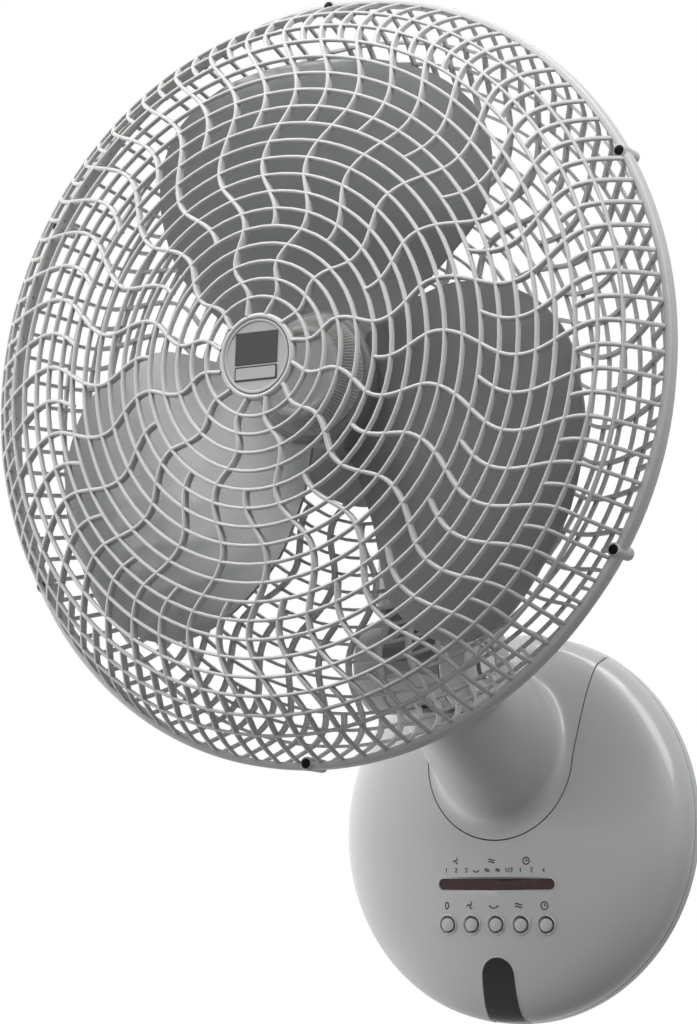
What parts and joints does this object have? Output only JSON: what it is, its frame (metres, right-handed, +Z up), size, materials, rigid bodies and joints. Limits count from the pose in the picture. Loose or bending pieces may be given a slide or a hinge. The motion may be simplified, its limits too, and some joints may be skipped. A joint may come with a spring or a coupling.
{
  "type": "wall fan",
  "caption": "Wall fan with a domed wavy-rib guard, three broad blades, a tilting and swinging head, and a round wall base with push buttons.",
  "frame": {"origin": "centre of the back plate on the wall, in the middle of its four wall screw holes", "axes": "+Z up, +Y into the wall, so the fan blows towards -Y; +X to the right of somebody who looks along +Y"},
  "size_m": [0.4416, 0.3167, 0.5761],
  "materials": {
    "housing_white": "satin",
    "guard_white": "satin",
    "badge_silver": "gloss",
    "blade_grey": "gloss",
    "nut_white": "matte",
    "lens_red": "gloss",
    "window_black": "gloss",
    "button_white": "satin",
    "screw_black": "matte",
    "steel": "satin",
    "core_steel": "matte",
    "bush_brown": "matte",
    "bracket_grey": "matte",
    "board_green": "matte",
    "electric_black": "matte",
    "lamp_clear": "gloss"
  },
  "bodies": {
    "wall_base": {"back_plate": "housing_white", "neck": "housing_white", "control_cover": "housing_white", "display_lens": "lens_red", "receiver_window": "window_black", "cover_screws": "steel", "circuit_board": "board_green", "lamps": "lamp_clear", "switches": "electric_black", "transformer": "core_steel", "terminal_block": "electric_black", "tilt_bolt": "steel", "tilt_nut": "steel"},
    "tilt_arm": {"tilt_bracket": "bracket_grey", "swing_pin": "steel"},
    "head": {"swing_bush": "bush_brown", "swing_column": "housing_white", "swing_motor": "core_steel", "motor_front_cover": "housing_white", "motor_rear_cover": "housing_white", "stator": "core_steel", "bearings": "steel", "ring_nut": "housing_white", "rear_guard": "guard_white", "front_guard": "guard_white", "guard_screws": "screw_black", "badge": "badge_silver"},
    "rotor": {"fan_blades": "blade_grey", "blade_nut": "nut_white", "motor_shaft": "steel", "rotor_core": "core_steel"},
    "crank": {"swing_crank": "bracket_grey"},
    "button_1_body": {"button_1": "button_white"},
    "button_2_body": {"button_2": "button_white"},
    "button_3_body": {"button_3": "button_white"},
    "button_4_body": {"button_4": "button_white"},
    "button_5_body": {"button_5": "button_white"}
  },
  "joints": [
    {"name": "tilt", "type": "hinge", "parent": "wall_base", "child": "tilt_arm", "pos_m": [0, -0.1188, 0.0875], "axis": [1, 0, 0], "range_deg": [-15, 15]},
    {"name": "swing", "type": "hinge", "parent": "tilt_arm", "child": "head", "pos_m": [0, -0.1188, 0.125], "axis": [0, 0, 1], "range_deg": [-40, 40]},
    {"name": "fan_spin", "type": "hinge", "parent": "head", "child": "rotor", "pos_m": [0, -0.25, 0.2355], "axis": [0, 1, 0], "continuous": true},
    {"name": "crank_spin", "type": "hinge", "parent": "head", "child": "crank", "pos_m": [0, -0.1058, 0.15], "axis": [0, 0, 1], "continuous": true},
    {"name": "press_1", "type": "slide", "parent": "wall_base", "child": "button_1_body", "axis": [0, 1, 0], "range_m": [0, 0.0012], "stiffness_N_per_m": 400},
    {"name": "press_2", "type": "slide", "parent": "wall_base", "child": "button_2_body", "axis": [0, 1, 0], "range_m": [0, 0.0012], "stiffness_N_per_m": 400},
    {"name": "press_3", "type": "slide", "parent": "wall_base", "child": "button_3_body", "axis": [0, 1, 0], "range_m": [0, 0.0012], "stiffness_N_per_m": 400},
    {"name": "press_4", "type": "slide", "parent": "wall_base", "child": "button_4_body", "axis": [0, 1, 0], "range_m": [0, 0.0012], "stiffness_N_per_m": 400},
    {"name": "press_5", "type": "slide", "parent": "wall_base", "child": "button_5_body", "axis": [0, 1, 0], "range_m": [0, 0.0012], "stiffness_N_per_m": 400}
  ]
}
